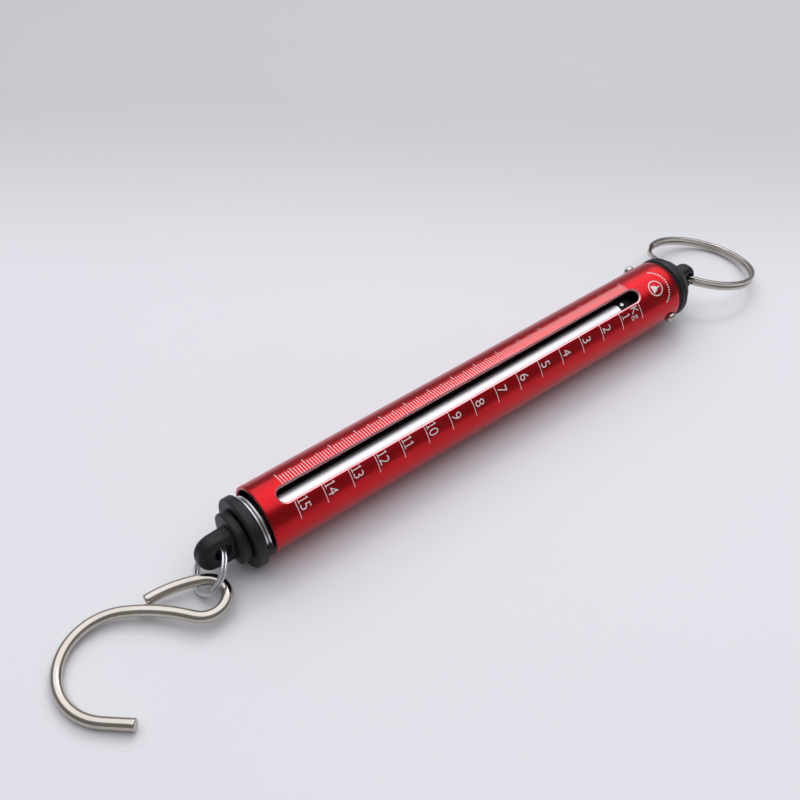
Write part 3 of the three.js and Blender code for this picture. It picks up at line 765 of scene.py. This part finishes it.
def build_strip():
    """The bright strip: a bent plate with rounded corners, slightly crowned across its edges."""
    outer, inner = INNER_R + 0.02, INNER_R - STRIP_THICK
    corner = 1.0
    half = (STRIP_TO - STRIP_FROM) / 2
    mid = (STRIP_TO + STRIP_FROM) / 2
    x0, x1 = STRIP_LOW.x, STRIP_HIGH.x
    stations = [x0 + corner * (1 - math.cos(math.pi / 2 * k / 6)) for k in range(6)]
    stations += [x0 + corner + (x1 - x0 - 2 * corner) * k / 60 for k in range(61)]
    stations += [x1 - corner + corner * math.sin(math.pi / 2 * k / 6) for k in range(1, 7)]
    edge = 0.14
    rows = []
    for x in stations:
        near = min(x - x0, x1 - x)
        pull = 0.0
        if near < corner:
            pull = corner - math.sqrt(max(0.0, corner ** 2 - (corner - near) ** 2))
        h = half - math.degrees(pull / INNER_R)
        row = []
        for k in range(15):
            u = -1 + 2 * k / 14
            drop = 0.12 * max(0.0, abs(u) - (1 - edge)) / edge
            row.append(inner_point(x, mid + h * u, outer - drop))
        for k in range(15):
            u = 1 - 2 * k / 14
            row.append(inner_point(x, mid + h * u, inner))
        rows.append(row)
    bm = bmesh.new()
    add_capped(bm, rows)
    tidy(bm)
    piece = from_bmesh("strip_skin", bm, [STRIP], math.radians(30))
    return place(piece, "slider", "bright_strip", "pointer_strip")


def build_collar():
    low, high = span("guide_collar")
    bore = INNER_BORE + 0.2
    profile = rounded([
        (low.x, bore, 0), (low.x, INNER_R, 0.15), (high.x, INNER_R, 0.95),
        (high.x, bore, 0.2), (low.x, bore, 0),
    ], 8)
    piece = lathe_ring("collar_skin", profile[:-1], INNER_Z, [BLACK])
    return place(piece, "slider", "black_plastic", "guide_collar")


def build_stud():
    """Small dome-headed stud at the end of the strip."""
    low, high = span("strip_stud")
    x = (low.x + high.x) / 2
    degrees = STRIP_FROM + 12
    profile = rounded([
        (0.0, 0.5, 0), (0.62, 0.5, 0.08), (0.85, 0.3, 0.2), (0.85, 0.05, 0), (0.5, -0.6, 0),
    ], 4)
    up = (inner_point(x, degrees, 2) - inner_point(x, degrees, 1)).normalized()
    bm = bmesh.new()
    turned_head(bm, inner_point(x, degrees, INNER_R + 0.12), up, profile, 32)
    piece = from_bmesh("stud_skin", bm, [NICKEL])
    return place(piece, "slider", "nickel", "strip_stud")


# ---------------------------------------------------------------- hook end: flange, wire band, eye plug
def build_flange():
    """The wide collar, its neck with three ribs, and the spigot inside the inner tube."""
    low, high = span("flange_collar")
    back = low.x
    r = (high.z - low.z) / 2
    neck = 7.7
    face = back + 2.9
    shoulder = INNER_LOW.x - 0.3
    profile = rounded([
        (back, 0.0, 0), (back, r, 0.8),
        (face, r, 0.5), (face, neck, 0.25), (shoulder, neck, 0.1), (shoulder, INNER_BORE - 0.4, 0.1),
        (high.x, INNER_BORE - 0.4, 0.4), (high.x, 3.6, 0.2), (4.6, 3.6, 0.1), (4.6, 0.0, 0),
    ], 6)
    bm = bmesh.new()
    lathe_into(bm, profile, INNER_Z, 128)
    rib_top, rib_foot = 10.12, 9.38
    half = math.degrees(1.3 / ((rib_top + rib_foot) / 2))
    across = [-half + 2 * half * k / 8 for k in range(9)]
    for degrees in (92, 182, 272):
        rows = []
        for x, grow in ((face - 0.4, 0.0), (face + 0.1, 0.0), (-0.5, 0.0), (-0.38, 0.12), (-0.33, 0.3)):
            rows.append([inner_point(x, degrees + a, rib_top - grow) for a in across] +
                        [inner_point(x, degrees - a, rib_foot + grow * 0.5) for a in across])
        add_capped(bm, rows)
    tidy(bm)
    piece = from_bmesh("flange_skin", bm, [BLACK])
    return place(piece, "slider", "black_plastic", "flange_collar")


def split_ring_points(centre, out, across, axis, radius, pitch, start, turns=1.9, per_turn=120, jog=30):
    """Two flat turns whose wire steps up once: the points in the row frame, and their radial directions."""
    points, radials = [], []
    steps = int(turns * per_turn)
    jog = math.radians(jog)
    for i in range(steps + 1):
        a = turns * 2 * math.pi * i / steps
        u = min(1.0, max(0.0, (a - (2 * math.pi - jog)) / jog))
        rise = u * u * (3 - 2 * u) - 0.5
        radial = out * math.cos(a + start) + across * math.sin(a + start)
        points.append(centre + (radial * radius + axis * pitch * rise) * MM)
        radials.append(radial)
    return points, radials


def build_band():
    low, high = span("wire_band")
    x = (low.x + high.x) / 2
    wire_r = (high.x - low.x - TURN_GAP) / 4
    radius = (high.z - low.z) / 2 - wire_r
    points, radials = split_ring_points(spot(x, 0, INNER_Z), Vector((0, 0, 1)), Vector((0, -1, 0)),
                                        Vector((1, 0, 0)), radius, 2 * wire_r + TURN_GAP, 2.2)
    bm = bmesh.new()
    sweep_into(bm, points, circle(wire_r, 16), frames_along(points, radials[0]))
    piece = from_bmesh("band_skin", bm, [ZINC])
    return place(piece, "slider", "zinc", "wire_band")


def eye_outline(root_x, centre_x, centre_z, r, side):
    """A tongue outline in x and z, round at its far end. side is -1 for one that points to the hook."""
    out = [(root_x, centre_z - r), (centre_x, centre_z - r)]
    n = 36
    for k in range(1, n):
        a = -math.pi / 2 + math.pi * k / n
        out.append((centre_x + side * r * math.cos(a), centre_z + r * math.sin(a)))
    out += [(centre_x, centre_z + r), (root_x, centre_z + r)]
    return out


def build_plug():
    """The disc with the lower eye, and its stem."""
    low, high = span("eye_plug")
    disc_r = (high.z - low.z) / 2
    face = DISC_X + DISC_THICK
    stem_r, eye_r, hole_r = 2.2, 5.3, 2.6
    profile = rounded([
        (DISC_X - 0.1, 0.0, 0), (DISC_X - 0.1, 5.6, 0.1), (DISC_X, 6.2, 0.2), (DISC_X, disc_r, 0.9),
        (face, disc_r, 0.15), (face, stem_r, 0.2), (high.x, stem_r, 0.3), (high.x, 0.0, 0),
    ], 6)
    outline = eye_outline(DISC_X + 1.2, LOWER_EYE.x - 1.6, LOWER_EYE.z - 0.45, eye_r, -1)
    piece = moulded("plug_skin", profile, INNER_Z, (outline, 5.0, 1.7),
                    (LOWER_EYE.x, LOWER_EYE.z, hole_r), [BLACK])
    return place(piece, "slider", "black_plastic", "eye_plug")


# ---------------------------------------------------------------- ring end: cap, screws
def build_cap():
    """The cap: a hollow spigot in the tube, a rim, a dome and the upper eye."""
    spigot_x, spigot_r, hollow_x, hollow_r = TUBE_LEN - 9, BORE_R - 0.3, TUBE_LEN - 2.2, 6.9
    rim_x = TUBE_LEN + 1.1
    rim_r, rim = 10.1, 2.7
    hub, dome = 4.8, 6.2
    foot = rim_x + rim
    eye_r, hole_r = 4.7, 2.75
    profile = rounded([
        (spigot_x, hollow_r, 0), (spigot_x, spigot_r, 0.3), (rim_x, spigot_r, 0.1), (rim_x, rim_r, 0.35),
        (foot, rim_r, 0.45), (foot + 0.35, rim_r - 0.75, 0.3),
        (foot + dome * 0.40, rim_r - (rim_r - hub) * 0.34, 1.6),
        (foot + dome * 0.74, rim_r - (rim_r - hub) * 0.80, 1.6),
        (foot + dome, hub - 0.3, 0.8), (foot + dome + 0.2, 0.0, 0),
    ], 6)
    profile += [(hollow_x, 0.0), (hollow_x, hollow_r), profile[0]]
    outline = eye_outline(foot + 1.0, UPPER_EYE.x - 0.7, UPPER_EYE.z, eye_r, 1)
    piece = moulded("cap_skin", profile, 0.0, (outline, 5.2, 2.1),
                    (UPPER_EYE.x, UPPER_EYE.z, hole_r), [BLACK], voxel=0.2, rounds=4)
    return place(piece, "housing", "black_plastic", "top_cap")


def build_screw(node):
    """Pan head with a cross recess, and a short shank."""
    low, high = span(node)
    middle = (low + high) / 2
    up = Vector((0, middle.y, middle.z)).normalized()
    head_r, head_h, shank_r, shank_end = 1.9, 1.6, 1.1, -2.4
    base = spot(middle.x, 0, 0) + up * (TUBE_R + 0.1) * MM
    profile = rounded([
        (0.0, head_h, 0), (head_r * 0.5, head_h - 0.04, 0.5), (head_r * 0.86, head_h * 0.78, 0.6),
        (head_r, head_h * 0.35, 0.4), (head_r, 0.05, 0.1),
        (shank_r, 0.0, 0), (shank_r, shank_end, 0), (0.0, shank_end, 0),
    ], 6)
    bm = bmesh.new()
    side, other = turned_head(bm, base, up, profile, 48)
    piece = from_bmesh(node + "_skin", bm, [NICKEL], None)
    tools = []
    deep, wide, long = 0.75, 0.26, 1.15
    for turn in (0.5, 0.5 + math.pi / 2):
        u = side * math.cos(turn) + other * math.sin(turn)
        v = up.cross(u)
        bm = bmesh.new()
        rows = []
        for h, grow in ((head_h - deep, 0.35), (head_h + 0.3, 1.0)):
            rows.append([base + (up * h + u * long * su * grow + v * wide * sv * grow) * MM
                         for su, sv in ((1, 1), (-1, 1), (-1, -1), (1, -1))])
        add_capped(bm, rows)
        tidy(bm)
        tool = from_bmesh("recess", bm, [], None)
        cut = piece.modifiers.new("recess", "BOOLEAN")
        cut.operation = "DIFFERENCE"
        cut.solver = "EXACT"
        cut.object = tool
        tools.append(tool)
    apply_modifiers(piece)
    for tool in tools:
        bpy.data.objects.remove(tool)
    piece.data.set_sharp_from_angle(angle=math.radians(34))
    return place(piece, "housing", "nickel", node)


# ---------------------------------------------------------------- rings and hook
def build_link():
    """The thin split ring that joins the lower eye to the hook."""
    seat = LOWER_EYE + Vector((0.5, 0.5, 0.45))
    slope, yaw, roll = math.radians(40.6), math.radians(24.8), math.radians(18.2)
    out = Vector((-math.cos(yaw) * math.cos(slope), -math.sin(yaw) * math.cos(slope), -math.sin(slope)))
    across = (Vector((0, 1, 0)) - out * out.y).normalized()
    across = Matrix.Rotation(roll, 3, out) @ across
    axis = out.cross(across)
    radius, wire_r = 6.95, 0.45
    centre = spot(*(seat + out * radius))
    points, radials = split_ring_points(centre, out, across, axis, radius, 2 * wire_r + TURN_GAP, 0.9)
    bm = bmesh.new()
    sweep_into(bm, points, circle(wire_r, 16), frames_along(points, radials[0]))
    piece = from_bmesh("link_skin", bm, [ZINC])
    return place(piece, "link", "zinc", "link_ring")


HOOK_WIRE = 1.6
HOOK_START = (-51.95, -27.25)
HOOK_HEADING = 137.2
HOOK_STRAIGHT = 8.3
# (radius, degrees, -1 for right or 1 for left): the big bend, the shank, the eye and its free arm
HOOK_BENDS = ((15.2, 170.0, -1), (46.7, 23.2, -1), (5.8, 206.4, 1), (32.0, 28.7, 1))


def hook_route():
    """Centre line of the hook wire in plan: its straight end, then its bends."""
    x, y = HOOK_START
    heading = math.radians(HOOK_HEADING)
    route = [(x, y)]
    pieces = 16
    for _ in range(pieces):
        x += HOOK_STRAIGHT / pieces * math.cos(heading)
        y += HOOK_STRAIGHT / pieces * math.sin(heading)
        route.append((x, y))
    for radius, turn, side in HOOK_BENDS:
        steps = max(12, int(radius * math.radians(turn) / 0.5))
        cx = x - side * radius * math.sin(heading)
        cy = y + side * radius * math.cos(heading)
        first = math.atan2(y - cy, x - cx)
        for i in range(1, steps + 1):
            a = first + side * math.radians(turn) * i / steps
            x, y = cx + radius * math.cos(a), cy + radius * math.sin(a)
            route.append((x, y))
        heading += side * math.radians(turn)
    return route


def build_hook():
    """The hook lies on the floor at its bend and rises towards the link ring."""
    route = hook_route()
    left = min(p[0] for p in route)
    rise, lift = 0.059, 0.05
    # a bent wire doesn't change its curvature at once: the route is eased a little
    for _ in range(10):
        route = [route[0]] + [
            ((a[0] + 2 * b[0] + c[0]) / 4, (a[1] + 2 * b[1] + c[1]) / 4)
            for a, b, c in zip(route, route[1:], route[2:])
        ] + [route[-1]]
    points = [spot(x, y, GROUND + HOOK_WIRE + lift + rise * (x - left)) for x, y in route]
    piece = wire("hook_skin", points, HOOK_WIRE, [STAINLESS], 0.3)
    return place(piece, "hook", "stainless", "s_hook")


def build_key_ring():
    """The flat-wire ring hangs from the upper eye and leans down to the floor."""
    radius, wide, high = 17.8, 1.5, 1.35
    pitch = high + TURN_GAP
    top = UPPER_EYE + Vector((0.2, 0.0, -0.2))
    low = pitch / 2 + high / 2
    slope = math.asin((top.z - GROUND - low - 0.35) / (2 * radius))
    yaw = math.radians(17)
    out = Vector((math.cos(slope) * math.cos(yaw), math.cos(slope) * math.sin(yaw), -math.sin(slope)))
    across = Vector((-math.sin(yaw), math.cos(yaw), 0))
    axis = out.cross(across)
    centre = spot(*(top + out * radius))
    points, radials = split_ring_points(centre, out, across, axis, radius, pitch, 2.4, per_turn=160)
    frames = []
    for t, radial in zip(tangents_along(points), radials):
        n = (radial - t * radial.dot(t)).normalized()
        frames.append((t, n, t.cross(n)))
    bm = bmesh.new()
    sweep_into(bm, points, rounded_box(wide, high, 0.42, 6), frames)
    piece = from_bmesh("key_ring_skin", bm, [NICKEL])
    return place(piece, "hanger", "nickel", "key_ring")


# ---------------------------------------------------------------- spring, its pins and hidden pieces
def build_spring():
    """A coil with a loop round each pin."""
    xa, xb = (sum(corner.x for corner in span(pin)) / 2 for pin in ("spring_pin_lower", "spring_pin_upper"))
    pin_r, wire_r, coil_r, loop_room = 1.0, 0.6, 4.1, 5.5
    loop_r = pin_r + 0.45 + wire_r
    turns, per_turn = 62, 20

    def loop(x, side):
        angles = (math.radians(40 + 270 * i / 24) for i in range(25))
        return [(x + side * loop_r * math.cos(a), 0, INNER_Z + loop_r * math.sin(a)) for a in angles]

    start, length = xa + loop_room, xb - xa - 2 * loop_room
    coil = []
    for i in range(turns * per_turn + 1):
        a = 2 * math.pi * i / per_turn
        x = start + length * i / (turns * per_turn)
        coil.append((x, coil_r * math.sin(a), INNER_Z - coil_r * math.cos(a)))
    points = [spot(*p) for p in loop(xa, 1) + coil + loop(xb, -1)[::-1]]
    bm = bmesh.new()
    sweep_into(bm, points, circle(wire_r, 8), frames_along(points))
    piece = from_bmesh("spring_skin", bm, [SPRING_STEEL])
    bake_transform(piece)
    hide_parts("extension_spring")
    return piece


def build_rings():
    """The seat ring under the cap's rim, the buffer ring below the cap and the washer on the stem."""
    low, high = span("cap_seat_ring")
    r0, r1 = BORE_R, (high.z - low.z) / 2
    profile = rounded([(low.x, r0, 0), (low.x, r1, 0.15), (high.x, r1, 0.15), (high.x, r0, 0)], 4)
    piece = lathe_ring("seat_skin", profile, 0.0, [RUBBER])
    place(piece, "housing", "dark_rubber", "cap_seat_ring")
    low, high = span("buffer_ring")
    r0, r1 = 6.6, (high.z - low.z) / 2
    profile = rounded([
        (high.x, r0, 0), (low.x, r0, 0.5), (low.x, r1, 0.5), (high.x, r1, 0.3), (high.x, r0 + 0.01, 0),
    ], 4)
    piece = lathe_ring("buffer_skin", profile, 0.0, [RUBBER])
    place(piece, "housing", "dark_rubber", "buffer_ring")
    low, high = span("stem_washer")
    r0, r1 = 2.5, (high.z - low.z) / 2
    profile = rounded([(low.x, r0, 0), (low.x, r1, 0.1), (high.x, r1, 0.1), (high.x, r0, 0)], 3)
    piece = lathe_ring("washer_skin", profile, INNER_Z, [STAINLESS])
    place(piece, "slider", "stainless", "stem_washer")


def build_pins():
    for node, body in (("spring_pin_upper", "housing"), ("spring_pin_lower", "slider")):
        low, high = span(node)
        x, r = (low.x + high.x) / 2, (high.z - low.z) / 2
        points = [spot(x, low.y + (high.y - low.y) * k / 8, INNER_Z) for k in range(9)]
        place(wire(node + "_skin", points, r, [STAINLESS], 0.2), body, "stainless", node)


build_tube()
build_scale()
build_inner_tube()
build_strip()
build_collar()
build_stud()
build_flange()
build_band()
build_plug()
build_cap()
build_screw("cap_screw_front")
build_screw("cap_screw_rear")
build_link()
build_hook()
build_key_ring()
build_spring()
build_rings()
build_pins()


# ---------------------------------------------------------------- floor, light and camera
def build_floor():
    """A flat sheet in metres, large enough to reach the horizon of a low view."""
    bm = bmesh.new()
    reach = 30.0
    for x, y in ((-reach, -reach), (reach, -reach), (reach, reach), (-reach, reach)):
        bm.verts.new((x, y, FLOOR_Z - 0.00002))
    bm.faces.new(bm.verts)
    piece = from_bmesh("floor", bm, [floor_paper()], None)


def build_light():
    """A bright ceiling over a dark room, and one soft key above and behind."""
    world = bpy.data.worlds.new("studio")
    world.use_nodes = True
    tree = world.node_tree
    back = tree.nodes["Background"]
    direction = tree.nodes.new("ShaderNodeTexCoord").outputs["Generated"]
    tilt = tree.nodes.new("ShaderNodeVectorMath")
    tilt.operation = "DOT_PRODUCT"
    tilt.inputs[1].default_value = (0.25, 0.25, 1.0)
    tree.links.new(direction, tilt.inputs[0])
    ramp = tree.nodes.new("ShaderNodeValToRGB")
    stops = ((0.0, 0.14), (0.60, 0.16), (0.72, 0.27), (0.80, 0.94), (1.0, 1.0))
    elements = ramp.color_ramp.elements
    while len(elements) < len(stops):
        elements.new(0.5)
    for element, (position, value) in zip(elements, stops):
        element.position = position
        element.color = (value, value * 1.01, value * 1.06, 1)
    tree.links.new(tilt.outputs["Value"], ramp.inputs["Fac"])
    tree.links.new(ramp.outputs["Color"], back.inputs["Color"])
    back.inputs["Strength"].default_value = 1.60
    bpy.context.scene.world = world
    key = bpy.data.lights.new("key", "AREA")
    key.shape = "RECTANGLE"
    key.size = key.size_y = 0.15
    key.energy = 0.50
    key.color = (1.0, 0.99, 0.985)
    lamp = bpy.data.objects.new("key", key)
    lamp.location = (0.354, 0.254, 0.580)
    lamp.rotation_euler = (-lamp.location).to_track_quat("-Z", "Y").to_euler()
    bpy.context.scene.collection.objects.link(lamp)


def build_camera():
    """Seen from the hook end's near side, looking along azimuth -38.2 degrees and 44.8 degrees down."""
    azimuth, elevation = math.radians(-38.19), math.radians(44.79)
    back = Vector((math.sin(azimuth) * math.cos(elevation), -math.cos(azimuth) * math.cos(elevation),
                   math.sin(elevation)))
    right = Vector((math.cos(azimuth), math.sin(azimuth), 0))
    up = back.cross(right)
    data = bpy.data.cameras.new("camera")
    data.sensor_width = 36
    data.lens = 47.69
    data.clip_start = 0.01
    camera = bpy.data.objects.new("camera", data)
    turn = Matrix((right, up, back)).transposed().to_4x4()
    camera.matrix_world = Matrix.Translation(spot(-79.29, -162.48, 220.30)) @ turn
    bpy.context.scene.collection.objects.link(camera)
    bpy.context.scene.camera = camera


build_floor()
build_light()
build_camera()

scene = bpy.context.scene
scene.view_settings.view_transform = "Standard"
scene.view_settings.look = "None"

bpy.context.view_layer.update()
